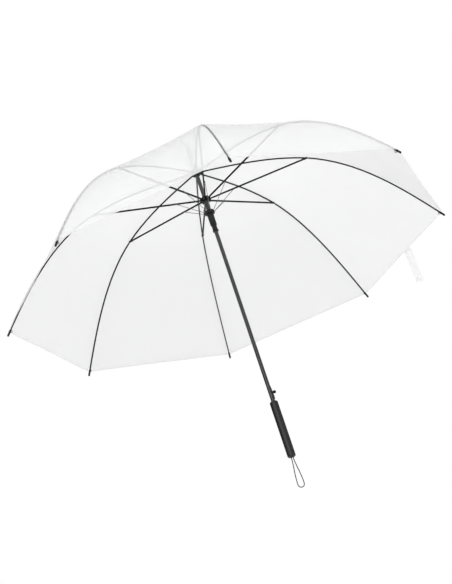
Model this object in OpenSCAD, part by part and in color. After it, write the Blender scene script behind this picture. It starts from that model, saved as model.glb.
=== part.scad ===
/* [Overall] */
// Distance from the shaft axis to a rib tip with the canopy open
rim_r = 525; // [420:5:640]
// Height of the rib pivots above the middle of the grip
crown_z = 669; // [560:1:800]
// Height of the rib tips above the middle of the grip
tip_z = 391.6; // [300:0.2:520]
// Angle each rib turns through from open to furled
fold_angle = 79; // [60:0.5:80]

/* [Shaft] */
// Outside diameter of the shaft tube
shaft_d = 9; // [8:0.5:14]
// Wall of the shaft tube
shaft_wall = 0.8; // [0.5:0.1:1.2]
// How far the shaft runs down inside the grip from its middle
shaft_in_grip = 45; // [20:1:55]
// How far the shaft runs up inside the ferrule
shaft_in_ferrule = 34; // [15:1:50]

/* [Crown] */
// Radius of the circle the rib pivots stand on
pivot_r = 11.5; // [10.5:0.1:16]
// Outside radius of the crown and runner rosettes
rosette_r = 13.6; // [13:0.1:19]
// Radius of the solid hub inside the slots
hub_r = 8.2; // [7.8:0.1:9]
// Height of the crown below its pivots
crown_below = 4; // [3:0.5:4]
// Height of the crown above its pivots
crown_above = 5; // [4:0.5:10]
// Radius of the cap that clamps the film
cap_r = 9.6; // [8:0.1:14]
// Thickness of the cap that clamps the film
cap_h = 1.9; // [1.5:0.1:4]

/* [Ferrule] */
// Diameter at the foot of the ferrule
ferrule_foot_d = 12.8; // [11.5:0.1:20]
// Diameter at the tip of the ferrule
ferrule_tip_d = 10.8; // [9.8:0.1:18]
// Length of the ferrule
ferrule_len = 72.5; // [50:0.5:110]

/* [Ribs] */
// Distance from the axis to the joint between rib and stretcher
joint_r = 264; // [220:1:320]
// Drop from the rib pivots to the joint between rib and stretcher
joint_drop = 37.5; // [25:0.5:60]
// Width of the channel a rib is made of
rib_w = 2.8; // [2.8:0.1:4]
// Height of the channel a rib is made of
rib_h = 2.5; // [2.4:0.1:4]
// Wall of the rib and stretcher channels
channel_wall = 0.5; // [0.4:0.05:0.8]
// Slope of the rib where it leaves the crown
crown_slope = 3.3; // [0:0.1:12]
// Slope of the rib at its joint with the stretcher
joint_slope = 20; // [12:0.5:30]
// Slope of the rib at its tip
tip_slope = 53.5; // [35:0.5:70]
// Radius of the cap on each rib tip
tip_cap_r = 2.4; // [2.2:0.1:4]
// Length of the cap on each rib tip
tip_cap_len = 15; // [10:0.5:24]

/* [Stretchers] */
// Width of the channel a stretcher is made of
stretcher_w = 3.2; // [2.4:0.1:3.6]
// Height of the channel a stretcher is made of
stretcher_h = 3; // [2.2:0.1:3.4]
// Distance along a stretcher from the runner to the control rod
rod_pivot_at = 61.5; // [45:0.5:80]
// Diameter of a control rod
rod_d = 1.4; // [1.2:0.1:1.6]

/* [Runner and sleeve] */
// Height of the runner below its pivots
runner_below = 5; // [4:0.5:8]
// Height of the runner above its pivots
runner_above = 6; // [4:0.5:12]
// Distance from the runner pivots down to the rod pivots when open
sleeve_gap = 36; // [30:0.5:50]
// Radius of the circle the rod ends stand on at the sleeve
rod_ring_r = 9.5; // [9.2:0.1:13]
// Outside radius of the sleeve flange
flange_r = 12.2; // [11:0.1:18]
// Height of the sleeve flange
flange_h = 6; // [5:0.2:10]
// Diameter of the thick part of the sleeve
sleeve_d = 15.4; // [13:0.1:15.8]
// Length of the thick part of the sleeve
sleeve_len = 31; // [20:0.5:45]
// Diameter of the narrow part of the sleeve
neck_d = 11.8; // [11:0.1:14]
// Length of the narrow part of the sleeve
neck_len = 17; // [10:0.5:22]
// Height of the opening spring wire
spring_wire = 1.1; // [0.8:0.1:1.2]
// Turns of the opening spring
spring_turns = 5; // [4:1:6]

/* [Grip] */
// Diameter of the grip
grip_d = 18.6; // [16:0.2:30]
// Length of the grip
grip_len = 134; // [110:1:180]
// Radius of the rounded ends of the grip
grip_round = 4; // [2:0.5:7]
// Diameter of the plug in the end of the grip
plug_d = 11.6; // [10:0.1:14]
// Length of the plug in the end of the grip
plug_len = 9; // [6:0.5:14]

/* [Button] */
// Diameter of the ball of the release button
button_d = 7.4; // [6:0.1:9]
// Height of the release button above the grip
button_up = 21; // [16:0.5:30]
// How far the button travels inward
button_travel = 2; // [1:0.1:2.2]
// Length of the latch blade
latch_len = 36; // [28:0.5:44]
// Thickness of the latch blade
latch_t = 2; // [1.6:0.1:2.4]

/* [Canopy] */
// Thickness of the film
film_t = 0.3; // [0.2:0.05:1.2]
// Gap between the film and the middle of a rib
film_lift = 2.9; // [2.5:0.1:4]
// Distance from a rib tip back to the hem of the film
hem_back = 9; // [1:0.5:20]
// Length of the tie strap
strap_len = 92; // [60:1:140]
// Turn of the hanging tie strap about the vertical
strap_turn = 0; // [-90:5:90]
// Width of the tie strap
strap_w = 19; // [12:0.5:30]
// Diameter of the fastener on the tie strap
snap_d = 10; // [6:0.5:14]

/* [Wrist cord] */
// Diameter of the wrist cord
cord_d = 2.2; // [1.8:0.1:2.6]

/* [Hidden] */
ribs = 8;
step_angle = 360 / ribs;
slide_fit = 0.3;
pin_fit = 0.18;
side_fit = 0.3;
seat_fit = 0.1;
soft_fit = 0.4;
pin_r = 0.62;
joint_pin_r = 0.7;
eye_r = 1.9;
eye_w = 2.4;
tongue_t = 1.2;
cheek_t = 0.8;
end_gap = 4.8;
plug_bit = 3;
fork_reach = 8;
fork_in = rib_w / 2 + side_fit;
fork_out = fork_in + cheek_t;
head_r = 1.2;
head_t = 0.4;
inner_steps = 10;
outer_steps = 16;
shaft_r = shaft_d / 2;
runner_bore_r = shaft_r + slide_fit;
joint_z = crown_z - joint_drop;
runner_z = crown_z - 2 * joint_drop;
arm_len = norm([joint_r - pivot_r, joint_drop]);
arm_rise = atan2(joint_drop, joint_r - pivot_r);
sleeve_z = runner_z - sleeve_gap;
rod_y = stretcher_w / 2 + side_fit + rod_d / 2;
rod_in_r = pivot_r + rod_pivot_at * cos(arm_rise);
rod_in_z = runner_z + rod_pivot_at * sin(arm_rise);
rod_len = norm([rod_in_r - rod_ring_r, rod_in_z - sleeve_z]);
rod_rise = atan2(rod_in_z - sleeve_z, rod_in_r - rod_ring_r);
slot_y0 = -stretcher_w / 2 - side_fit;
slot_y1 = rod_y + rod_d / 2 + side_fit;
crown_top = crown_z + crown_above;
film_z = crown_top + soft_fit;
cap_z = film_z + film_t + soft_fit;
ferrule_z = cap_z + cap_h;
grip_bottom = -grip_len / 2;
grip_top = grip_len / 2;
button_z = grip_top + button_up;
latch_z = grip_top + 5;
latch_top = latch_z + latch_len;
spring_r = (hub_r + runner_bore_r) / 2 - 0.3;
spring_low = sleeve_z + flange_h / 2 + side_fit;
spring_high = runner_z - runner_below - side_fit;
sleeve_low = -flange_h / 2 - sleeve_len;
neck_low = sleeve_low - neck_len;
collar_h = 3;
steel = [0.08, 0.08, 0.09];
plastic = [0.05, 0.05, 0.05];
film = [0.93, 0.94, 0.95, 0.5];
grip_black = [0.04, 0.04, 0.05];
wire = [0.3, 0.3, 0.32];
cord_route = [
    [-2.2, 0, -62], [-2.2, 0, -69], [-2.4, 0, -75.5], [-3.2, 0, -84], [-4.3, 0, -93.5],
    [-5.5, 0, -103], [-6.4, 0, -112], [-6.9, 0, -119.5], [-7.1, 0, -125.5], [-7, 0, -130],
    [-6.1, 0, -133.5], [-3.5, 0, -136.1], [0, 0, -137], [3.5, 0, -136.1], [6.1, 0, -133.5],
    [7, 0, -130], [7.1, 0, -125.5], [6.9, 0, -119.5], [6.4, 0, -112], [5.5, 0, -103],
    [4.3, 0, -93.5], [3.2, 0, -84], [2.4, 0, -75.5], [2.2, 0, -69], [2.2, 0, -62]
];

// Points of a curve whose slope goes from a to b, bending as the power k of the way along
function slope_curve(n, a, b, k) = [
    for (i = 0, x = 0, z = 0; i <= n;
        s = a + (b - a) * (k > 0 ? pow((i + 0.5) / n, k) : 1 - pow(1 - (i + 0.5) / n, -k)),
        x = x + cos(s), z = z - sin(s), i = i + 1)
    [x, z]
];

// The curve turned and scaled so that its ends meet the points a and b
function fit_curve(c, a, b) = let (
    v = c[len(c) - 1] - c[0],
    w = b - a,
    m = v * v,
    p = (w * v) / m,
    q = (w[1] * v[0] - w[0] * v[1]) / m
) [for (u = c) [a[0] + p * u[0] - q * u[1], a[1] + q * u[0] + p * u[1]]];

function inner_curve() = fit_curve(slope_curve(inner_steps, crown_slope, joint_slope, 2),
    [pivot_r, crown_z], [joint_r, joint_z]);
function outer_curve() = fit_curve(slope_curve(outer_steps, joint_slope, tip_slope, -2),
    [joint_r, joint_z], [rim_r, tip_z]);

// A curve cut back by a at its start and by b at its end
function cut_curve(c, a, b) = let (
    n = len(c) - 1,
    d0 = c[1] - c[0],
    d1 = c[n - 1] - c[n]
) [for (i = [0 : n]) i == 0 ? c[0] + d0 * a / norm(d0) : i == n ? c[n] + d1 * b / norm(d1) : c[i]];

// Direction along a curve at one of its points, and the upward normal there
function way(c, i) = let (
    n = len(c) - 1,
    v = c[min(i + 1, n)] - c[max(i - 1, 0)]
) v / norm(v);
function up(c, i) = let (v = way(c, i)) [-v[1], v[0]];
function rise(a, b) = atan2(b[1] - a[1], b[0] - a[0]);

// The curve moved off along its upward normal
function lifted(c, h) = [for (i = [0 : len(c) - 1]) c[i] + up(c, i) * h];

function block(w, low, high) = [[-w / 2, low], [-w / 2, high], [w / 2, high], [w / 2, low]];

// Rings of a closed skin from one end to the other, with a flat face on each end
module skin(rings) {
    m = len(rings[0]);
    n = len(rings);
    sides = [for (i = [0 : n - 2], j = [0 : m - 1])
        [i * m + j, i * m + (j + 1) % m, (i + 1) * m + (j + 1) % m, (i + 1) * m + j]];
    first = [for (j = [m - 1 : -1 : 0]) j];
    last = [for (j = [0 : m - 1]) (n - 1) * m + j];
    polyhedron(points = [for (r = rings, p = r) p], faces = concat(sides, [first], [last]),
        convexity = 6);
}

// A section swept along a curve in the plane of a rib
module swept(c, section) {
    skin([for (i = [0 : len(c) - 1])
        [for (s = section) let (q = c[i] + up(c, i) * s[1]) [q[0], s[0], q[1]]]]);
}

// A channel, open below, along a curve in the plane of a rib
module channel(c, w, h, t) {
    difference() {
        swept(c, block(w, -h / 2, h / 2));
        swept(cut_curve(c, -1, -1), block(w - 2 * t, -h / 2 - 1, h / 2 - t));
    }
}

// A place on a rib's plane, turned to the given rise
module on_plane(p, angle) {
    translate([p[0], 0, p[1]]) rotate([0, -angle, 0]) children();
}

// A round bar across a rib's plane, from y0 to y1
module cross_bar(p, r, y0, y1) {
    translate([p[0], y0, p[1]]) rotate([-90, 0, 0]) cylinder(h = y1 - y0, r = r, $fn = 24);
}

// A flat bar from x0 to x1 with thickness from y0 to y1
module flat_bar(x0, x1, y0, y1, h) {
    translate([x0, y0, -h / 2]) cube([x1 - x0, y1 - y0, h]);
}

module turned(i) {
    rotate([0, 0, (i - 1) * step_angle]) children();
}

module tube(h, r, bore) {
    difference() {
        cylinder(h = h, r = r, $fn = 48);
        translate([0, 0, -1]) cylinder(h = h + 2, r = bore, $fn = 48);
    }
}

module shaft() {
    low = -shaft_in_grip;
    high = ferrule_z + shaft_in_ferrule;
    slot_w = latch_t + 2 * side_fit;
    color(steel) difference() {
        translate([0, 0, low]) tube(high - low, shaft_r, shaft_r - shaft_wall);
        translate([0, -slot_w / 2, latch_z - side_fit])
            cube([shaft_r + 1, slot_w, latch_len + 2 * side_fit]);
        translate([0, 0, button_z]) rotate([0, 90, 0])
            cylinder(h = shaft_r + 1, r = button_d / 2 - 0.4, $fn = 32);
    }
}

module ferrule() {
    color(plastic) difference() {
        rotate_extrude($fn = 48) polygon([
            [0, ferrule_z], [ferrule_foot_d / 2, ferrule_z],
            [ferrule_foot_d / 2, ferrule_z + 1.5], [ferrule_tip_d / 2, ferrule_z + ferrule_len - 3],
            for (a = [15 : 15 : 75])
                [ferrule_tip_d / 2 - 3 + 3 * cos(a), ferrule_z + ferrule_len - 3 + 3 * sin(a)],
            [ferrule_tip_d / 2 - 3, ferrule_z + ferrule_len], [0, ferrule_z + ferrule_len]
        ]);
        translate([0, 0, ferrule_z - 1])
            cylinder(h = shaft_in_ferrule + 1 + 0.5, r = shaft_r + seat_fit, $fn = 48);
    }
}

module rosette(below, above, y0, y1) {
    difference() {
        translate([0, 0, -below]) cylinder(h = below + above, r = rosette_r, $fn = 64);
        for (i = [1 : ribs]) turned(i)
            translate([hub_r, y0, -below - 1]) cube([rosette_r, y1 - y0, below + above + 2]);
    }
}

module crown_notch() {
    half = eye_w / 2 + side_fit;
    color(plastic) translate([0, 0, crown_z]) difference() {
        union() {
            rosette(crown_below, crown_above - 2, -half, half);
            translate([0, 0, crown_above - 2]) cylinder(h = 2, r = rosette_r, $fn = 64);
            for (i = [1 : ribs]) turned(i) cross_bar([pivot_r, 0], pin_r, -half - 0.8, half + 0.8);
        }
        translate([0, 0, -crown_below - 1])
            cylinder(h = crown_below + crown_above + 2, r = shaft_r + seat_fit, $fn = 48);
    }
}

module crown_cap() {
    color(plastic) translate([0, 0, cap_z]) tube(cap_h, cap_r, shaft_r + seat_fit);
}

module runner() {
    color(plastic) translate([0, 0, runner_z]) difference() {
        union() {
            rosette(runner_below, runner_above - 2, slot_y0, slot_y1);
            translate([0, 0, -runner_below])
                cylinder(h = runner_below + runner_above, r = hub_r, $fn = 48);
            for (i = [1 : ribs]) turned(i)
                cross_bar([pivot_r, 0], pin_r, slot_y0 - 1, eye_w / 2 + 0.1);
        }
        translate([0, 0, -runner_below - 1])
            cylinder(h = runner_below + runner_above + 2, r = runner_bore_r, $fn = 48);
    }
}

module sleeve() {
    slot_w = latch_t + 4 * side_fit;
    color(plastic) translate([0, 0, sleeve_z]) difference() {
        union() {
            difference() {
                translate([0, 0, -flange_h / 2]) cylinder(h = flange_h, r = flange_r, $fn = 48);
                for (i = [1 : ribs]) turned(i)
                    translate([sleeve_d / 2, rod_y - rod_d / 2 - side_fit, -flange_h])
                        cube([flange_r, rod_d + 2 * side_fit, 2 * flange_h]);
            }
            translate([0, 0, sleeve_low])
                cylinder(h = flange_h / 2 - sleeve_low, r = sleeve_d / 2, $fn = 48);
            translate([0, 0, neck_low]) cylinder(h = neck_len + 1, r = neck_d / 2, $fn = 48);
            translate([0, 0, neck_low]) cylinder(h = collar_h, r = neck_d / 2 + 1.3, $fn = 48);
        }
        translate([0, 0, neck_low - 1])
            cylinder(h = flange_h - neck_low + 2, r = runner_bore_r, $fn = 48);
        translate([0, -slot_w / 2, neck_low - 1]) cube([flange_r, slot_w, neck_len + 1]);
    }
}

module opening_spring() {
    per_turn = 12;
    n = spring_turns * per_turn;
    pitch = (spring_high - spring_low - spring_wire) / n;
    color(wire) skin([for (i = [0 : n]) let (a = i * 360 / per_turn)
        [for (b = [0 : 60 : 300]) let (r = spring_r + spring_wire / 2 * cos(b))
            [r * cos(a), r * sin(a),
                spring_low + spring_wire / 2 + i * pitch + spring_wire / 2 * sin(b)]]]);
}

module grip() {
    r = grip_d / 2;
    color(grip_black) difference() {
        rotate_extrude($fn = 64) polygon([
            [0, grip_bottom],
            for (a = [-90 : 15 : 0])
                [r - grip_round + grip_round * cos(a), grip_bottom + grip_round + grip_round * sin(a)],
            for (a = [0 : 15 : 90])
                [r - grip_round + grip_round * cos(a), grip_top - grip_round + grip_round * sin(a)],
            [0, grip_top]
        ]);
        translate([0, 0, -shaft_in_grip - seat_fit])
            cylinder(h = grip_len, r = shaft_r + seat_fit, $fn = 48);
        translate([0, 0, grip_bottom - 1])
            cylinder(h = plug_len + 1 + seat_fit, r = plug_d / 2 + seat_fit, $fn = 48);
    }
}

module grip_end_plug() {
    color(plastic) translate([0, 0, grip_bottom]) difference() {
        cylinder(h = plug_len, r = plug_d / 2, $fn = 48);
        for (x = [-2.2, 2.2]) translate([x, 0, -1])
            cylinder(h = plug_len + 2, r = cord_d / 2 + soft_fit, $fn = 24);
    }
}

// Rings of a round cord along a route that lies in a plane through the Z axis
module cord_tube(route, d) {
    n = len(route) - 1;
    skin([for (i = [0 : n]) let (
        v = route[min(i + 1, n)] - route[max(i - 1, 0)],
        w = v / norm(v),
        side = [w[2], 0, -w[0]]
    ) [for (a = [0 : 45 : 315]) route[i] + d / 2 * (cos(a) * side + sin(a) * [0, 1, 0])]]);
}

// The route with extra points set evenly on the smooth curve through it
function smooth(p, k) = let (n = len(p) - 1) [
    for (i = [0 : n - 1], j = [0 : k - 1]) let (
        t = j / k,
        a = p[max(i - 1, 0)],
        b = p[i],
        c = p[i + 1],
        d = p[min(i + 2, n)]
    ) b + 0.5 * t * ((c - a) + t * ((2 * a - 5 * b + 4 * c - d) + t * (3 * (b - c) + d - a))),
    p[n]
];

module wrist_strap() {
    color(grip_black) cord_tube(smooth(cord_route, 2), cord_d);
}

module release_button() {
    r = shaft_r;
    color(plastic) {
        translate([0, latch_t / 2, 0]) rotate([90, 0, 0]) linear_extrude(latch_t) polygon([
            [-0.8, latch_z], [r + 1.7, latch_z], [r + 1.7, button_z], [r - 0.4, latch_top],
            [-0.8, latch_top]
        ]);
        translate([1, 0, button_z]) rotate([0, 90, 0]) cylinder(h = r + 2, r = 1.5, $fn = 24);
        translate([r + 1.15 + button_d / 2, 0, button_z]) sphere(d = button_d, $fn = 32);
    }
}

// One rib from the crown to its joint with the stretcher, drawn on the XZ plane
module rib_shape() {
    c = inner_curve();
    n = len(c) - 1;
    a = rise(c[0], c[1]);
    b = rise(c[n - 1], c[n]);
    color(steel) difference() {
        union() {
            channel(cut_curve(c, end_gap, end_gap), rib_w, rib_h, channel_wall);
            on_plane(c[0], a) {
                flat_bar(0, end_gap + 1, -eye_w / 2, eye_w / 2, 2.4);
                flat_bar(end_gap, end_gap + plug_bit, -rib_w / 2, rib_w / 2, rib_h);
            }
            cross_bar(c[0], eye_r, -eye_w / 2, eye_w / 2);
            on_plane(c[n], b) {
                flat_bar(-end_gap - plug_bit, -end_gap, -rib_w / 2, rib_w / 2, rib_h);
                for (y = [-rib_w / 2, rib_w / 2 - cheek_t])
                    flat_bar(-end_gap - 1, 0, y, y + cheek_t, rib_h);
            }
            for (y = [-rib_w / 2, rib_w / 2 - cheek_t]) cross_bar(c[n], eye_r, y, y + cheek_t);
            cross_bar(c[n], joint_pin_r, -fork_out - 0.3, fork_out + 0.3);
            cross_bar(c[n], head_r, -fork_out - 0.3 - head_t, -fork_out - 0.3);
            cross_bar(c[n], head_r, fork_out + 0.3, fork_out + 0.3 + head_t);
        }
        cross_bar(c[0], pin_r + pin_fit, -eye_w, eye_w);
    }
}

// The springy outer part of a rib with the cap on its tip
module rib_outer_shape() {
    c = outer_curve();
    n = len(c) - 1;
    a = rise(c[0], c[1]);
    b = rise(c[n - 1], c[n]);
    color(steel) difference() {
        union() {
            channel(cut_curve(c, end_gap, 2), rib_w, rib_h, channel_wall);
            on_plane(c[0], a) {
                flat_bar(0, end_gap + 1, -tongue_t / 2, tongue_t / 2, 2.6);
                flat_bar(end_gap, end_gap + plug_bit, -rib_w / 2, rib_w / 2, rib_h);
            }
            cross_bar(c[0], eye_r, -tongue_t / 2, tongue_t / 2);
            on_plane(c[n], b) rotate([0, -90, 0]) {
                cylinder(h = tip_cap_len, r = tip_cap_r, $fn = 32);
                sphere(r = tip_cap_r, $fn = 32);
            }
        }
        cross_bar(c[0], joint_pin_r + pin_fit, -tongue_t, tongue_t);
    }
}

// One stretcher from the runner to its joint with the rib
module stretcher_shape() {
    a = [pivot_r, runner_z];
    b = [joint_r, joint_z];
    color(steel) difference() {
        union() {
            on_plane(a, arm_rise) {
                channel([[end_gap, 0], [arm_len - fork_reach, 0]],
                    stretcher_w, stretcher_h, channel_wall);
                flat_bar(0, end_gap + plug_bit, -eye_w / 2, eye_w / 2, 2.2);
                flat_bar(rod_pivot_at - 2.5, rod_pivot_at + 2.5, -stretcher_w / 2, stretcher_w / 2,
                    stretcher_h);
                flat_bar(arm_len - fork_reach - 3, arm_len - fork_reach, -fork_out, fork_out,
                    stretcher_h);
                for (y = [-fork_out, fork_in])
                    flat_bar(arm_len - fork_reach - 1, arm_len, y, y + cheek_t, stretcher_h);
            }
            cross_bar(a, eye_r - 0.1, -eye_w / 2, eye_w / 2);
            for (y = [-fork_out, fork_in]) cross_bar(b, eye_r, y, y + cheek_t);
            cross_bar([rod_in_r, rod_in_z], pin_r, 0, rod_y + rod_d / 2 + 0.15);
            cross_bar([rod_in_r, rod_in_z], head_r - 0.1, rod_y + rod_d / 2 + 0.15,
                rod_y + rod_d / 2 + 0.15 + head_t);
        }
        cross_bar(a, pin_r + pin_fit, -eye_w, eye_w);
        cross_bar(b, joint_pin_r + pin_fit, -2 * fork_out, 2 * fork_out);
    }
}

// One control rod from its pivot on the stretcher down to the sleeve
module control_rod_shape() {
    eye_half = rod_d / 2 + 0.08;
    color(wire) difference() {
        translate([0, rod_y, 0]) union() {
            on_plane([rod_ring_r, sleeve_z], rod_rise) rotate([0, 90, 0])
                cylinder(h = rod_len - 1, r = rod_d / 2, $fn = 16);
            cross_bar([rod_in_r, rod_in_z], 1.4, -eye_half, eye_half);
            cross_bar([rod_ring_r, sleeve_z], 1.3, -eye_half, eye_half);
        }
        cross_bar([rod_in_r, rod_in_z], pin_r + pin_fit, 0, 2 * rod_y);
    }
}

// A strip of film over one rib, reaching halfway to the ribs on each side
module film_over(c) {
    side = [cos(step_angle / 2) * cos(step_angle / 2), sin(step_angle) / 2];
    m = 6;
    last = (len(c) - 1) * m;
    points = [for (p = c) let (
        far = p[0] * side,
        keep = 1 - soft_fit / 2 / norm(far - [p[0], 0]),
        e = [p[0] + (far[0] - p[0]) * keep, far[1] * keep]
    ) each [
        [e[0], -e[1], p[1]], [e[0], -e[1], p[1] + film_t], [p[0], 0, p[1] + film_t],
        [e[0], e[1], p[1] + film_t], [e[0], e[1], p[1]], [p[0], 0, p[1]]
    ]];
    sides = [for (i = [0 : len(c) - 2], j = [0 : m - 1])
        [i * m + j, i * m + (j + 1) % m, (i + 1) * m + (j + 1) % m, (i + 1) * m + j]];
    ends = [[5, 2, 1, 0], [4, 3, 2, 5], [last, last + 1, last + 2, last + 5],
        [last + 5, last + 2, last + 3, last + 4]];
    polyhedron(points = points, faces = concat(sides, ends), convexity = 6);
}

// Half the film's gap over a joint, wider where a changed size kinks the ribs upwards there
function film_seam() = let (
    a = inner_curve(),
    b = outer_curve(),
    n = len(a) - 1,
    kink = rise(b[0], b[1]) - rise(a[n - 1], a[n])
) soft_fit / 2 + film_lift * max(0, tan(kink / 2));
function film_inner() = let (c = cut_curve(lifted(inner_curve(), film_lift), 0, film_seam()))
    concat([[7.4, film_z], [rosette_r + 1, film_z]], [for (i = [1 : len(c) - 1]) c[i]]);
function film_outer() = cut_curve(lifted(outer_curve(), film_lift), film_seam(), hem_back);

module canopy_inner_shape() {
    color(film) film_over(film_inner());
}

module canopy_outer_shape() {
    color(film) film_over(film_outer());
}

module tie_strap() {
    c = film_outer();
    hem = c[len(c) - 1];
    at = 0.43;
    a = [hem[0], 0];
    b = hem[0] * [cos(step_angle), sin(step_angle)];
    p = a + at * (b - a);
    color(film) translate([p[0], p[1], hem[1] - soft_fit]) rotate([0, 0, strap_turn]) {
        translate([-strap_w / 2, -film_t / 2, -strap_len]) cube([strap_w, film_t, strap_len]);
        translate([0, 0, -strap_len + snap_d]) rotate([90, 0, 0])
            cylinder(h = film_t + 0.8, d = snap_d, center = true, $fn = 32);
    }
}

module rib_1() {
    turned(1) rib_shape();
}

module rib_2() {
    turned(2) rib_shape();
}

module rib_3() {
    turned(3) rib_shape();
}

module rib_4() {
    turned(4) rib_shape();
}

module rib_5() {
    turned(5) rib_shape();
}

module rib_6() {
    turned(6) rib_shape();
}

module rib_7() {
    turned(7) rib_shape();
}

module rib_8() {
    turned(8) rib_shape();
}

module rib_outer_1() {
    turned(1) rib_outer_shape();
}

module rib_outer_2() {
    turned(2) rib_outer_shape();
}

module rib_outer_3() {
    turned(3) rib_outer_shape();
}

module rib_outer_4() {
    turned(4) rib_outer_shape();
}

module rib_outer_5() {
    turned(5) rib_outer_shape();
}

module rib_outer_6() {
    turned(6) rib_outer_shape();
}

module rib_outer_7() {
    turned(7) rib_outer_shape();
}

module rib_outer_8() {
    turned(8) rib_outer_shape();
}

module stretcher_1() {
    turned(1) stretcher_shape();
}

module stretcher_2() {
    turned(2) stretcher_shape();
}

module stretcher_3() {
    turned(3) stretcher_shape();
}

module stretcher_4() {
    turned(4) stretcher_shape();
}

module stretcher_5() {
    turned(5) stretcher_shape();
}

module stretcher_6() {
    turned(6) stretcher_shape();
}

module stretcher_7() {
    turned(7) stretcher_shape();
}

module stretcher_8() {
    turned(8) stretcher_shape();
}

module control_rod_1() {
    turned(1) control_rod_shape();
}

module control_rod_2() {
    turned(2) control_rod_shape();
}

module control_rod_3() {
    turned(3) control_rod_shape();
}

module control_rod_4() {
    turned(4) control_rod_shape();
}

module control_rod_5() {
    turned(5) control_rod_shape();
}

module control_rod_6() {
    turned(6) control_rod_shape();
}

module control_rod_7() {
    turned(7) control_rod_shape();
}

module control_rod_8() {
    turned(8) control_rod_shape();
}

module canopy_inner_1() {
    turned(1) canopy_inner_shape();
}

module canopy_inner_2() {
    turned(2) canopy_inner_shape();
}

module canopy_inner_3() {
    turned(3) canopy_inner_shape();
}

module canopy_inner_4() {
    turned(4) canopy_inner_shape();
}

module canopy_inner_5() {
    turned(5) canopy_inner_shape();
}

module canopy_inner_6() {
    turned(6) canopy_inner_shape();
}

module canopy_inner_7() {
    turned(7) canopy_inner_shape();
}

module canopy_inner_8() {
    turned(8) canopy_inner_shape();
}

module canopy_outer_1() {
    turned(1) canopy_outer_shape();
}

module canopy_outer_2() {
    turned(2) canopy_outer_shape();
}

module canopy_outer_3() {
    turned(3) canopy_outer_shape();
}

module canopy_outer_4() {
    turned(4) canopy_outer_shape();
}

module canopy_outer_5() {
    turned(5) canopy_outer_shape();
}

module canopy_outer_6() {
    turned(6) canopy_outer_shape();
}

module canopy_outer_7() {
    turned(7) canopy_outer_shape();
}

module canopy_outer_8() {
    turned(8) canopy_outer_shape();
}

shaft();
ferrule();
crown_notch();
crown_cap();
runner();
sleeve();
opening_spring();
grip();
grip_end_plug();
wrist_strap();
release_button();
tie_strap();
rib_1();
rib_2();
rib_3();
rib_4();
rib_5();
rib_6();
rib_7();
rib_8();
rib_outer_1();
rib_outer_2();
rib_outer_3();
rib_outer_4();
rib_outer_5();
rib_outer_6();
rib_outer_7();
rib_outer_8();
stretcher_1();
stretcher_2();
stretcher_3();
stretcher_4();
stretcher_5();
stretcher_6();
stretcher_7();
stretcher_8();
control_rod_1();
control_rod_2();
control_rod_3();
control_rod_4();
control_rod_5();
control_rod_6();
control_rod_7();
control_rod_8();
canopy_inner_1();
canopy_inner_2();
canopy_inner_3();
canopy_inner_4();
canopy_inner_5();
canopy_inner_6();
canopy_inner_7();
canopy_inner_8();
canopy_outer_1();
canopy_outer_2();
canopy_outer_3();
canopy_outer_4();
canopy_outer_5();
canopy_outer_6();
canopy_outer_7();
canopy_outer_8();
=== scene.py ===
import bpy
import math
from mathutils import Matrix, Vector


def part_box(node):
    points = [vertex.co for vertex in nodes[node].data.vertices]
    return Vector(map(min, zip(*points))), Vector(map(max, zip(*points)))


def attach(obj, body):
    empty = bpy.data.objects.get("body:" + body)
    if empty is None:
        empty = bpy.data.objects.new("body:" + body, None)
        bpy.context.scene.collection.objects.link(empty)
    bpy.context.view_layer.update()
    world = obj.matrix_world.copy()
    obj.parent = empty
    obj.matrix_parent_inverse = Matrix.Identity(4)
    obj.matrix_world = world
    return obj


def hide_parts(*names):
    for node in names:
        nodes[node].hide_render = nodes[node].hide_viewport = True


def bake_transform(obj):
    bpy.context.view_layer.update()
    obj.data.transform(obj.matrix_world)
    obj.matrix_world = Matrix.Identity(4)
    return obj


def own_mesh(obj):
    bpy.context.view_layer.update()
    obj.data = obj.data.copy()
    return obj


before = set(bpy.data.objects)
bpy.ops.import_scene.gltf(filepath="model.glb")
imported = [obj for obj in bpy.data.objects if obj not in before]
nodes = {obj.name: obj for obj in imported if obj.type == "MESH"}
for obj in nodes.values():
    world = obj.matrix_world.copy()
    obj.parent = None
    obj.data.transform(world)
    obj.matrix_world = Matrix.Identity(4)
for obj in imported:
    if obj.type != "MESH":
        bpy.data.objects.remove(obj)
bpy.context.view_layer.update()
print("frame loaded,", len(nodes), "nodes")

# camera: held up, seen from below the rim and slightly rolled

cameraSetup = {
    "place": (-0.39765, -2.90046, -0.89442),
    "right": (0.956599, 0.001529, -0.291402),
    "up": (0.266480, -0.409254, 0.872640),
    "lens": 85.56,  # millimetres, on a 36 mm sensor along the tall side
}


def makeCamera(setup):
    data = bpy.data.cameras.new("umbrellaCamera")
    data.lens = setup["lens"]
    data.sensor_width = 36
    data.clip_start, data.clip_end = 0.05, 200
    cam = bpy.data.objects.new("umbrellaCamera", data)
    bpy.context.scene.collection.objects.link(cam)
    right, up = Vector(setup["right"]).normalized(), Vector(setup["up"]).normalized()
    back = right.cross(up)
    turn = Matrix((right, up, back)).transposed().to_4x4()
    cam.matrix_world = Matrix.Translation(setup["place"]) @ turn
    bpy.context.scene.camera = cam


makeCamera(cameraSetup)

# mesh helpers


def addMesh(name, points, faces, smooth=True):
    mesh = bpy.data.meshes.new(name)
    mesh.from_pydata([tuple(p) for p in points], [], faces)
    mesh.validate()
    mesh.polygons.foreach_set("use_smooth", [smooth] * len(mesh.polygons))
    mesh.update()
    obj = bpy.data.objects.new(name, mesh)
    bpy.context.scene.collection.objects.link(obj)
    return obj


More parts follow.
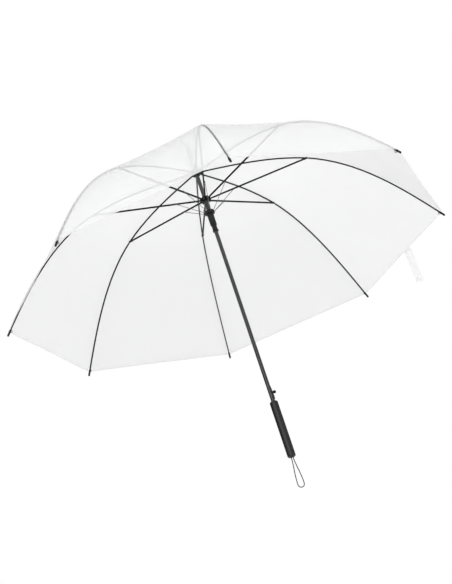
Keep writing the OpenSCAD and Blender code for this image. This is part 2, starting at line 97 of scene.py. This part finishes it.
def gridFaces(rows, columns, first=0, flip=False, wrap=False):
    faces = []
    for i in range(rows - 1):
        for j in range(columns if wrap else columns - 1):
            a, b = first + i * columns + j, first + i * columns + (j + 1) % columns
            face = (a, b, b + columns, a + columns)
            faces.append(face[::-1] if flip else face)
    return faces


def addAttribute(obj, name, values):
    layer = obj.data.attributes.new(name, "FLOAT", "POINT")
    layer.data.foreach_set("value", values)


def splinePoints(points, steps):
    # Catmull-Rom through the points, as part.scad does it
    out, last = [], len(points) - 1
    for i in range(last):
        a, b = points[max(i - 1, 0)], points[i]
        c, d = points[i + 1], points[min(i + 2, last)]
        for j in range(steps):
            t = j / steps
            bend = (c - a) + t * ((2 * a - 5 * b + 4 * c - d) + t * (3 * (b - c) + d - a))
            out.append(b + 0.5 * t * bend)
    return out + [points[last]]


def lineLength(points):
    return sum((b - a).length for a, b in zip(points, points[1:]))


def evenPoints(points, count):
    # the same line with its points evenly spaced
    total, out, done, i = lineLength(points), [], 0.0, 0
    for k in range(count):
        want = total * k / (count - 1)
        while i < len(points) - 2 and done + (points[i + 1] - points[i]).length < want:
            done += (points[i + 1] - points[i]).length
            i += 1
        span = (points[i + 1] - points[i]).length
        out.append(points[i].lerp(points[i + 1], min(1.0, (want - done) / max(span, 1e-12))))
    return out


def tubeMesh(name, line, radius, sides, closedEnds=True, side=Vector((0, 1, 0))):
    points, along, far = [], [], 0.0
    for i, p in enumerate(line):
        way = (line[min(i + 1, len(line) - 1)] - line[max(i - 1, 0)]).normalized()
        first = (side - way * side.dot(way)).normalized()
        second = way.cross(first)
        far += (p - line[i - 1]).length if i else 0.0
        for k in range(sides):
            a = 2 * math.pi * k / sides
            points.append(p + radius * (math.cos(a) * first + math.sin(a) * second))
            along.append(far)
        side = first
    faces = gridFaces(len(line), sides, wrap=True)
    if closedEnds:
        faces.append(tuple(range(sides))[::-1])
        faces.append(tuple(range(len(points) - sides, len(points))))
    obj = addMesh(name, points, faces)
    addAttribute(obj, "alongLine", along)
    addAttribute(obj, "roundLine", [k % sides / sides for k in range(len(points))])
    return obj


# finishes: a socket that takes part in plain expressions


class Signal:
    def __init__(self, finish, socket):
        self.finish, self.socket = finish, socket

    def maths(self, operation, first, second):
        return self.finish.maths(operation, first, second)

    def __add__(self, other):
        return self.maths("ADD", self, other)

    def __radd__(self, other):
        return self.maths("ADD", other, self)

    def __sub__(self, other):
        return self.maths("SUBTRACT", self, other)

    def __rsub__(self, other):
        return self.maths("SUBTRACT", other, self)

    def __mul__(self, other):
        return self.maths("MULTIPLY", self, other)

    def __rmul__(self, other):
        return self.maths("MULTIPLY", other, self)


class Finish:
    def __init__(self, name, shaderSettings):
        self.material = bpy.data.materials.new(name)
        self.material.use_nodes = True
        self.tree = self.material.node_tree
        self.tree.nodes.clear()
        self.output = self.tree.nodes.new("ShaderNodeOutputMaterial")
        self.shader = self.tree.nodes.new("ShaderNodeBsdfPrincipled")
        self.tree.links.new(self.shader.outputs[0], self.output.inputs[0])
        for key, value in shaderSettings.items():
            self.shader.inputs[key].default_value = value

    @classmethod
    def around(cls, tree):
        made = cls.__new__(cls)
        made.tree = tree
        return made

    def node(self, kind, settings=None, inputs=None, output=0):
        made = self.tree.nodes.new(kind)
        for key, value in (settings or {}).items():
            setattr(made, key, value)
        for key, value in (inputs or {}).items():
            self.fill(made.inputs[key], value)
        return Signal(self, made.outputs[output])

    def maths(self, operation, first, second=0.0):
        return self.node("ShaderNodeMath", {"operation": operation}, {0: first, 1: second})

    def part(self, kind, inputs):
        return self.node(kind, {}, inputs).socket

    def mix(self, share, first, second):
        made = self.node("ShaderNodeMixShader", {}, {0: share})
        self.tree.links.new(first, made.socket.node.inputs[1])
        self.tree.links.new(second, made.socket.node.inputs[2])
        return made.socket

    def show(self, socket):
        self.tree.links.new(socket, self.output.inputs[0])

    def fill(self, socket, value):
        if isinstance(value, Signal):
            self.tree.links.new(value.socket, socket)
        else:
            socket.default_value = value

    def set(self, **inputs):
        for key, value in inputs.items():
            self.fill(self.shader.inputs[key.replace("_", " ")], value)

    def place(self):
        return self.node("ShaderNodeTexCoord", output="Object")

    def noise(self, scale, detail=3.0, roughness=0.55, where=None):
        where = where or self.place()
        return self.node("ShaderNodeTexNoise", {}, {"Vector": where, "Scale": scale,
                         "Detail": detail, "Roughness": roughness}, "Fac")

    def value(self, name):
        return self.node("ShaderNodeAttribute", {"attribute_name": name}, {}, "Fac")

    def spread(self, signal, low, high, first, last):
        return self.node("ShaderNodeMapRange", {"clamp": True}, {0: signal, 1: low, 2: high,
                         3: first, 4: last})

    def tint(self, mask, first, last):
        mixer = {"data_type": "RGBA"}
        return self.node("ShaderNodeMix", mixer, {0: mask, 6: (*first, 1), 7: (*last, 1)}, 2)

    def bump(self, height, strength, distance):
        return self.node("ShaderNodeBump", {}, {"Height": height, "Strength": strength,
                         "Distance": distance})


def paintedSteel(name, look):
    finish = Finish(name, {"Metallic": 0.0, "IOR": 1.5, "Specular IOR Level": look["gloss"]})
    cloud = finish.noise(look["patches"], 4)
    grain = finish.noise(look["grain"], 2)
    scuffs = finish.spread(finish.noise(look["scuffs"], 6, 0.7), 0.6, 0.72, 0.0, 1.0)
    finish.set(Base_Color=finish.tint(scuffs * 0.5 + cloud * 0.3, look["colour"], look["worn"]),
               Roughness=look["roughness"] + 0.16 * (cloud - 0.5) + 0.08 * scuffs,
               Normal=finish.bump(grain + 0.6 * cloud, look["bump"], 0.00012))
    return finish.material


def mouldedPlastic(name, look):
    finish = Finish(name, {"Metallic": 0.0, "IOR": 1.49, "Specular IOR Level": look["gloss"]})
    where = finish.place()
    grain = finish.noise(look["grain"], 3, 0.6, where)
    cloud = finish.noise(look["patches"], 3, 0.5, where)
    cells = finish.node("ShaderNodeTexVoronoi", {"feature": "SMOOTH_F1"},
                        {"Vector": where, "Scale": look["grain"] * 0.7, "Smoothness": 0.6}, "Distance")
    finish.set(Base_Color=finish.tint(cloud, look["colour"], look["faded"]),
               Roughness=look["roughness"] + 0.14 * (cloud - 0.5) + 0.05 * (grain - 0.5),
               Normal=finish.bump(grain * 0.7 + cells * 0.5, look["bump"], 0.0002))
    return finish.material


def braidedCord(name, look):
    finish = Finish(name, {"Metallic": 0.0, "IOR": 1.45, "Sheen Weight": 0.4, "Sheen Roughness": 0.45})
    along, around = finish.value("alongLine"), finish.value("roundLine")
    turn = 2 * math.pi
    oneWay = finish.node("ShaderNodeMath", {"operation": "SINE"},
                         {0: along * look["pitch"] + around * (turn * look["strands"])})
    otherWay = finish.node("ShaderNodeMath", {"operation": "SINE"},
                           {0: along * look["pitch"] - around * (turn * look["strands"])})
    braid = oneWay * otherWay
    fuzz = finish.noise(look["fuzz"], 4, 0.7)
    # the colour goes darker where the braid dips between the strands: painted shade in the grooves,
    # with random fuzz mixed in
    mask = finish.spread(braid + 0.5 * fuzz, -0.6, 1.0, 0.0, 1.0)
    finish.set(Base_Color=finish.tint(mask, look["grooveShade"], look["colour"]),
               Roughness=0.72 + 0.18 * fuzz,
               Normal=finish.bump(braid + 0.3 * fuzz, 0.8, 0.0003))
    return finish.material


def clearFilm(name, look):
    # milky film: part of the light goes nearly straight on, the rest is scattered both ways
    finish = Finish(name, {"Metallic": 0.0, "IOR": look["ior"], "Specular IOR Level": look["gloss"]})
    where = finish.place()
    ribGap, hemGap = finish.value("ribDistance"), finish.value("hemDistance")
    weld = finish.spread(ribGap, *look["weldEdge"], 1.0, 0.0)
    hem = finish.spread(hemGap, *look["hemEdge"], 1.0, 0.0)
    band = finish.maths("MAXIMUM", weld * 0.4, hem)
    cloud = finish.noise(look["patches"], 3, 0.5, where)
    frost = finish.noise(look["frost"], 2, 0.5, where)
    drawn = finish.noise(look["wrinkles"], 2, 0.4, where)
    knurl = finish.maths("SINE", hemGap * look["knurl"])
    milk = (look["milk"] + 0.05 * (cloud - 0.5) + 0.03 * (frost - 0.5)
            + look["hemMilk"] * hem - look["weldClear"] * weld)
    normal = finish.bump(drawn * 3 + frost * 0.15 + band * (0.2 + 0.1 * knurl), look["bump"], 0.0008)
    colour = finish.tint(band, look["colour"], look["bandColour"])
    finish.set(Base_Color=colour, Roughness=look["roughness"] + 0.1 * (cloud - 0.5), Normal=normal)
    through = finish.part("ShaderNodeBsdfTranslucent", {"Color": (*look["through"], 1)})
    straight = finish.part("ShaderNodeBsdfTransparent", {"Color": (1, 1, 1, 1)})
    spread = finish.part("ShaderNodeBsdfRefraction", {"Color": (1, 1, 1, 1), "IOR": look["bend"],
                         "Roughness": look["blur"]})
    clear = finish.mix(look["blurred"], straight, spread)
    scattered = finish.mix(look["passed"], finish.shader.outputs[0], through)
    finish.show(finish.mix(milk, clear, scattered))
    return finish.material


def drawnWire(name, look):
    finish = Finish(name, {"Metallic": 0.6, "IOR": 1.5})
    where = finish.node("ShaderNodeMapping", {}, {"Vector": finish.place(), "Scale": (1, 1, 0.06)})
    streaks = finish.noise(look["streaks"], 3, 0.6, where)
    cloud = finish.noise(look["patches"], 3)
    finish.set(Base_Color=finish.tint(cloud, look["colour"], look["worn"]),
               Roughness=look["roughness"] + 0.15 * (streaks - 0.5),
               Normal=finish.bump(streaks, 0.25, 0.00008))
    return finish.material


frameLook = {"colour": (0.005, 0.005, 0.005), "worn": (0.028, 0.028, 0.029), "patches": 55,
             "grain": 2600, "scuffs": 140, "roughness": 0.42, "gloss": 0.14, "bump": 0.3}
shaftLook = {**frameLook, "colour": (0.012, 0.012, 0.012), "roughness": 0.3, "gloss": 0.55}
plasticLook = {"colour": (0.005, 0.005, 0.005), "faded": (0.011, 0.011, 0.011), "patches": 70,
               "grain": 1900, "roughness": 0.42, "gloss": 0.22, "bump": 0.3}
gripLook = {"colour": (0.006, 0.006, 0.006), "faded": (0.010, 0.010, 0.010), "patches": 30,
            "grain": 1300, "roughness": 0.45, "gloss": 0.36, "bump": 0.35}
# the cord's darker second colour is painted shade for the grooves between the braid's strands
cordLook = {"colour": (0.030, 0.030, 0.032), "grooveShade": (0.006, 0.006, 0.006), "pitch": 2300,
            "strands": 4, "fuzz": 5200}
wireLook = {"colour": (0.06, 0.06, 0.062), "worn": (0.16, 0.16, 0.165), "patches": 90,
            "streaks": 5200, "roughness": 0.38}
filmLook = {"colour": (0.80, 0.802, 0.804), "bandColour": (0.73, 0.732, 0.734), "ior": 1.45,
            "gloss": 0.12, "roughness": 0.34, "milk": 0.365, "hemMilk": 0.06, "weldClear": 0.24,
            "through": (0.70, 0.702, 0.704), "passed": 0.42, "bend": 1.06, "blur": 0.4,
            "blurred": 0.28, "patches": 9, "frost": 900, "wrinkles": 11, "bump": 0.5,
            "knurl": 2600, "weldEdge": (0.0026, 0.0034), "hemEdge": (0.0048, 0.0056)}

frameBlack = paintedSteel("frameBlack", frameLook)
shaftBlack = paintedSteel("shaftBlack", shaftLook)
plasticBlack = mouldedPlastic("plasticBlack", plasticLook)
gripBlack = mouldedPlastic("gripBlack", gripLook)
cordBlack = braidedCord("cordBlack", cordLook)
wireDark = drawnWire("wireDark", wireLook)
filmClear = clearFilm("filmClear", filmLook)
snapClear = mouldedPlastic("snapClear", {**plasticLook, "colour": (0.62, 0.63, 0.64),
                           "faded": (0.7, 0.7, 0.71), "roughness": 0.3})
print("finishes made")

finishOf = {"ferrule": plasticBlack, "crown_notch": plasticBlack, "crown_cap": plasticBlack,
            "runner": plasticBlack, "sleeve": plasticBlack, "release_button": plasticBlack,
            "grip_end_plug": plasticBlack, "grip": gripBlack, "shaft": shaftBlack}
for name, obj in nodes.items():
    kind = name.rstrip("0123456789").rstrip("_")
    finish = finishOf.get(name, {"control_rod": wireDark}.get(kind, frameBlack))
    obj.data.materials.clear()
    obj.data.materials.append(finish)
print("finishes on the frame's nodes")

# wrist cord: hangs from the end of the grip and goes back into it

wristCord = {
    "route": [(-2.2, -62), (-2.2, -69), (-2.4, -75.5), (-3.2, -84), (-4.3, -93.5), (-5.5, -103),
              (-6.4, -112), (-6.9, -119.5), (-7.1, -125.5), (-7, -130), (-6.1, -133.5), (-3.5, -136.1),
              (0, -137), (3.5, -136.1), (6.1, -133.5), (7, -130), (7.1, -125.5), (6.9, -119.5),
              (6.4, -112), (5.5, -103), (4.3, -93.5), (3.2, -84), (2.4, -75.5), (2.2, -69),
              (2.2, -62)],
    "diameter": 0.0022,
}


def makeWristCord(spec):
    route = [Vector((x / 1000, 0, z / 1000)) for x, z in spec["route"]]
    line = evenPoints(splinePoints(route, 8), 120)
    cord = tubeMesh("wristCord", line, spec["diameter"] / 2, 16)
    cord.data.materials.append(cordBlack)
    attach(cord, "handle")
    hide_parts("wrist_strap")
    lineLength(line)
    print("wrist cord", round(lineLength(line), 4), "m long")


makeWristCord(wristCord)

# opening spring: a smooth coil between the sleeve and the runner

springSpec = {"turns": 5, "wire": 0.0011, "radius": 0.0062, "perTurn": 28, "sides": 10}


def makeSpring(spec):
    low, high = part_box("opening_spring")
    count, line = spec["turns"] * spec["perTurn"], []
    foot, top = low.z + spec["wire"] / 2, high.z - spec["wire"] / 2
    for i in range(count + 1):
        a = 2 * math.pi * i / spec["perTurn"]
        line.append(Vector((spec["radius"] * math.cos(a), spec["radius"] * math.sin(a),
                            foot + (top - foot) * i / count)))
    spring = tubeMesh("openingSpring", line, spec["wire"] / 2, spec["sides"], side=Vector((0, 0, 1)))
    spring.data.materials.append(wireDark)
    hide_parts("opening_spring")
    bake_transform(spring)


makeSpring(springSpec)
print("opening spring made")

# canopy: one film surface, cut halfway between the ribs and over the joints

canopySpec = {
    "ribs": 8, "columns": 13, "innerRows": 34, "outerRows": 46,
    "sag": 0.012,  # how far the film pulls in between two ribs, as a share of the radius
    "crease": 0.03, "thickness": 0.0003,
    "folded": 0.07,  # share of its width that a strip keeps when the canopy is furled
}


def ridgePoints(node):
    lowest = {}
    for v in nodes[node].data.vertices:
        if abs(v.co.y) < 1e-5:
            key = round(v.co.x, 5)
            lowest[key] = min(lowest.get(key, 9), v.co.z)
    return [Vector((x, 0, lowest[x])) for x in sorted(lowest)]


def filmProfile(spec):
    inner, outer = ridgePoints("canopy_inner_1"), ridgePoints("canopy_outer_1")
    joint = (inner[-1] + outer[0]) / 2
    joined = inner[1:-1] + [joint] + outer[1:]
    cut = len(inner) - 2
    fine = splinePoints(joined, 8)
    first = evenPoints([inner[0]] + fine[:cut * 8 + 1], spec["innerRows"])
    last = evenPoints(fine[cut * 8:], spec["outerRows"])
    return first, last


def slopeAt(line, i):
    way = line[min(i + 1, len(line) - 1)] - line[max(i - 1, 0)]
    return math.atan2(-way.z, way.x)


def filmPoint(p, slope, s, spec, rim, lift):
    # s runs from -1 to 1 across the strip, from halfway to one rib to halfway to the next
    e = spec["crease"]
    bend = (math.sqrt(s * s + e * e) - e) / (math.sqrt(1 + e * e) - e)
    half = math.pi / spec["ribs"]
    pull = spec["sag"] * p.x * (1 - (p.x / rim) ** 8) * (1 - (1 - abs(s)) ** 2)
    inward = pull * max(0.25, math.sin(slope))
    x = p.x * (1 - math.sin(half) ** 2 * bend) - inward * math.cos(half)
    y = p.x * math.sin(2 * half) / 2 * s - math.copysign(inward * math.sin(half), s)
    return Vector((x, y, p.z - pull * math.cos(slope) + lift))


def filmStrip(name, line, slopes, spec, rim, turn, hem):
    columns, rows = 2 * spec["columns"] + 1, len(line)
    points, faces, ribGap, hemGap = [], [], [], []
    even = [(j - spec["columns"]) / spec["columns"] for j in range(columns)]
    across = [math.copysign(abs(s) ** 1.5, s) for s in even]  # closer together near the rib
    halfGore = math.sin(math.pi / spec["ribs"])
    far = [lineLength(line[i:]) + (0 if hem else 1) for i in range(rows)]
    notch = set()

    def layer(lift, flip):
        start = len(points)
        for i in range(rows):
            for s in across:
                points.append(turn @ filmPoint(line[i], slopes[i], s, spec, rim, lift))
                ribGap.append(abs(s) * line[i].x * halfGore)
                hemGap.append(far[i])
        wide = columns - 1
        whole = gridFaces(rows, columns, start, flip)
        faces.extend(f for i, f in enumerate(whole) if (i // wide, i % wide) not in notch)

    if hem:  # the hem is cut away round the cap on the rib's tip
        middle = spec["columns"]
        notch = {(rows - 2, j) for j in (middle - 1, middle)}
    layer(spec["thickness"], True)
    layer(0.0, False)
    strip = addMesh(name, points, faces)
    addAttribute(strip, "ribDistance", ribGap)
    addAttribute(strip, "hemDistance", hemGap)
    strip.data.materials.append(filmClear)
    area = sum(f.area for f in strip.data.polygons) / 2
    return strip, area, lineLength(line)


def makeCanopy(spec):
    inner, outer = filmProfile(spec)
    whole = inner[:-1] + outer
    slopes = [slopeAt(whole, i) for i in range(len(whole))]
    innerSlopes, outerSlopes = slopes[:len(inner)], slopes[len(inner) - 1:]
    rim = outer[-1].x
    for k in range(1, spec["ribs"] + 1):
        angle = 2 * math.pi * (k - 1) / spec["ribs"]
        turn = Matrix.Rotation(angle, 3, "Z")
        parts = (("inner", inner, innerSlopes, f"rib_{k}_body", False),
                 ("outer", outer, outerSlopes, f"rib_outer_{k}_body", True))
        for part, line, steep, body, hem in parts:
            name = f"canopy_{part}_{k}"
            strip, area, length = filmStrip("film_" + name, line, steep, spec, rim, turn, hem)
            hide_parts(name)
            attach(strip, body)
            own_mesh(strip)
            f"rib_{k}" if part == "inner" else f"rib_outer_{k}"
    print("canopy made, rim radius", round(rim, 4))


makeCanopy(canopySpec)

# rib tips: a small eye under each cap, where the corner of the film is tied, and its knot

tipSpec = {"eyeRadius": 0.0021, "wire": 0.00055, "back": 0.0115, "down": 0.0030,
           "sides": 10, "turns": 20,
           "capOut": 0.009, "capDrop": 0.0029,  # from the hem's corner to the end of the cap
           "thread": 0.0003, "threadReach": 0.0028, "threadSides": 8, "threadSteps": 24}


def makeTipEyes(spec):
    outer = ridgePoints("canopy_outer_1")
    end, before = outer[-1], outer[-2]
    way = (end - before).normalized()
    up = Vector((-way.z, 0, way.x))
    capEnd = end + way * spec["capOut"] - up * spec["capDrop"]
    centre = capEnd - way * spec["back"] - up * spec["down"]
    ribs = canopySpec["ribs"]
    for k in range(1, ribs + 1):
        turn = Matrix.Rotation(2 * math.pi * (k - 1) / ribs, 3, "Z")
        line = []
        for i in range(spec["turns"] + 1):
            a = 2 * math.pi * i / spec["turns"]
            line.append(turn @ (centre + spec["eyeRadius"] * (math.cos(a) * way * 1.3
                                                              + math.sin(a) * up)))
        eye = tubeMesh(f"tipEye_{k}", line, spec["wire"], spec["sides"], False,
                       turn @ Vector((0, 1, 0)))
        eye.data.materials.append(plasticBlack)
        # the thread from the eye over the cap to the corner of the film
        thread = []
        for i in range(spec["threadSteps"] + 1):
            a = math.pi * (-0.72 + 1.44 * i / spec["threadSteps"])
            r = spec["threadReach"] + spec["thread"] * math.cos(3 * a)
            thread.append(turn @ (capEnd - way * (spec["back"] - 0.0022 * math.cos(a * 0.5))
                                  + up * (r * math.cos(a)) + Vector((0, r * math.sin(a), 0))))
        knot = tubeMesh(f"tipThread_{k}", thread, spec["thread"], spec["threadSides"], True,
                        turn @ way)
        knot.data.materials.append(cordBlack)
        for piece in (eye, knot):
            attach(piece, f"rib_outer_{k}_body")
    print("tip eyes made")


makeTipEyes(tipSpec)

# tie strap: a strip of the same film welded to the hem, with a snap

strapSpec = {"rows": 44, "columns": 10, "thickness": 0.0003, "bow": 0.0022, "sewn": 0.16,
             "rounded": 0.05, "cup": 0.0008, "snapUp": 0.010, "snapRadius": 0.0048}


def makeStrap(spec):
    low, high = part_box("tie_strap")
    top = Vector(((low.x + high.x) / 2, (low.y + high.y) / 2, high.z))
    length, width = high.z - low.z, high.x - low.x
    half = math.pi / canopySpec["ribs"]
    hemWay = math.atan2(math.cos(half), -math.sin(half)) - math.pi
    points, gaps = [], []
    for side in (0.5, -0.5):
        for i in range(spec["rows"] + 1):
            t = i / spec["rows"]
            # sewn along the hem at the top, then turning to hang flat
            turned = hemWay * max(0.0, 1 - t / spec["sewn"]) ** 2
            along = Vector((math.cos(turned), math.sin(turned), 0))
            face = Vector((math.sin(turned), -math.cos(turned), 0))
            bow = spec["bow"] * math.sin(math.pi * t) * (1 - 0.5 * t)
            tail = min(1.0, max(0.0, (t - 1 + spec["rounded"]) / spec["rounded"]))
            corner = 0.7 + 0.3 * math.sqrt(1 - tail ** 2)
            for j in range(spec["columns"] + 1):
                s = (j / spec["columns"] - 0.5) * corner
                cup = spec["cup"] * (4 * s * s) * math.sin(math.pi * min(1.0, t * 1.2))
                points.append(top + along * (s * width) - Vector((0, 0, t * length))
                              + face * (bow - cup + side * spec["thickness"]))
                gaps.append(1.0)
    rows, columns = spec["rows"] + 1, spec["columns"] + 1
    faces = gridFaces(rows, columns, 0, True) + gridFaces(rows, columns, rows * columns, False)
    strap = addMesh("tieStrap", points, faces)
    addAttribute(strap, "hemDistance", gaps)
    addAttribute(strap, "ribDistance", gaps)
    strap.data.materials.append(filmClear)
    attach(strap, "rib_outer_1_body")
    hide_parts("tie_strap")
    # press fastener: a stud with a rolled edge, a domed middle and its back plate
    share = 1 - spec["snapUp"] / length
    centre = top - Vector((0, spec["bow"] * math.sin(math.pi * share) * (1 - 0.5 * share),
                           length - spec["snapUp"]))
    ring = [(0.02, -0.0012), (0.35, -0.0012), (0.5, -0.0009), (0.62, -0.0007), (0.8, -0.0010),
            (0.94, -0.0009), (1.0, -0.0005), (1.0, 0.0), (0.97, 0.0005), (0.5, 0.0007), (0.02, 0.0007)]
    sides, snapPoints = 32, []
    for reach, depth in ring:
        for k in range(sides):
            a = 2 * math.pi * k / sides
            r = reach * spec["snapRadius"]
            snapPoints.append(centre + Vector((r * math.cos(a), depth, r * math.sin(a))))
    snapFaces = gridFaces(len(ring), sides, wrap=True)
    snapFaces += [tuple(range(sides))[::-1], tuple(range(len(snapPoints) - sides, len(snapPoints)))]
    snap = addMesh("tieSnap", snapPoints, snapFaces)
    snap.data.materials.append(snapClear)
    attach(snap, "rib_outer_1_body")
    for piece in (strap, snap):
        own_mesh(piece)


makeStrap(strapSpec)
print("tie strap made")

# floor, world and lights

stageSpec = {
    "floor": -1.35, "reach": 40,
    "open": 1.0,  # how bright the room is to the eye and to dull surfaces
    "shiny": 0.10,  # how bright it is in reflections, away from the two soft boxes
    "boxes": (((-0.27, -0.87, 0.39), 0.76, 0.95, 2.6), ((0.80, 0.10, 0.45), 0.90, 0.98, 0.8)),
}


def makeWorld(spec):
    world = bpy.data.worlds.new("studioWhite")
    world.use_nodes = True
    tree = world.node_tree
    tree.nodes.clear()
    room = Finish.around(tree)
    way = room.node("ShaderNodeTexCoord", output="Generated")
    shine = spec["shiny"]
    for direction, low, high, strength in spec["boxes"]:
        facing = room.node("ShaderNodeVectorMath", {"operation": "DOT_PRODUCT"},
                           {0: way, 1: tuple(Vector(direction).normalized())}, "Value")
        shine = shine + strength * room.spread(facing, low, high, 0.0, 1.0)
    glossy = (room.node("ShaderNodeLightPath", output="Is Glossy Ray")
              * (1 - room.node("ShaderNodeLightPath", output="Is Transmission Ray")))
    level = glossy * shine + (1 - glossy) * spec["open"]
    light = room.node("ShaderNodeBackground", {}, {"Color": (1, 1, 1, 1), "Strength": level})
    output = tree.nodes.new("ShaderNodeOutputWorld")
    tree.links.new(light.socket, output.inputs[0])
    bpy.context.scene.world = world


def makeStage(spec):
    r, z = spec["reach"], spec["floor"]
    floor = addMesh("floor", [(-r, -r, z), (r, -r, z), (r, r, z), (-r, r, z)], [(0, 1, 2, 3)], False)
    pale = Finish("paleFloor", {"Specular IOR Level": 0.1})
    speckle = pale.noise(3, 2)
    pale.set(Base_Color=pale.tint(speckle, (0.90, 0.90, 0.90), (0.92, 0.92, 0.92)),
             Roughness=0.85 + 0.1 * speckle)
    floor.data.materials.append(pale.material)


lampSpec = {  # where each lamp stands, its size and its power
    "keyLight": ((-1.4, -2.4, 2.6), 1.6, 60),
    "fillLight": ((2.0, -1.7, 2.4), 1.8, 60),
    "backLight": ((0.6, 3.0, 1.8), 1.5, 10),
}
lampTarget = (0, 0, 0.5)


def addLight(name, place, size, power):
    data = bpy.data.lights.new(name, "AREA")
    data.energy, data.size, data.shape = power, size, "DISK"
    lamp = bpy.data.objects.new(name, data)
    lamp.location = place
    lamp.visible_camera = lamp.visible_transmission = False
    lamp.rotation_mode = "QUATERNION"
    lamp.rotation_quaternion = (Vector(lampTarget) - Vector(place)).to_track_quat("-Z", "Y")
    bpy.context.scene.collection.objects.link(lamp)


makeWorld(stageSpec)
makeStage(stageSpec)
for name, (place, size, power) in lampSpec.items():
    addLight(name, place, size, power)
settings = bpy.context.scene.view_settings
settings.view_transform, settings.look = "Standard", "None"
print("stage and lights made")
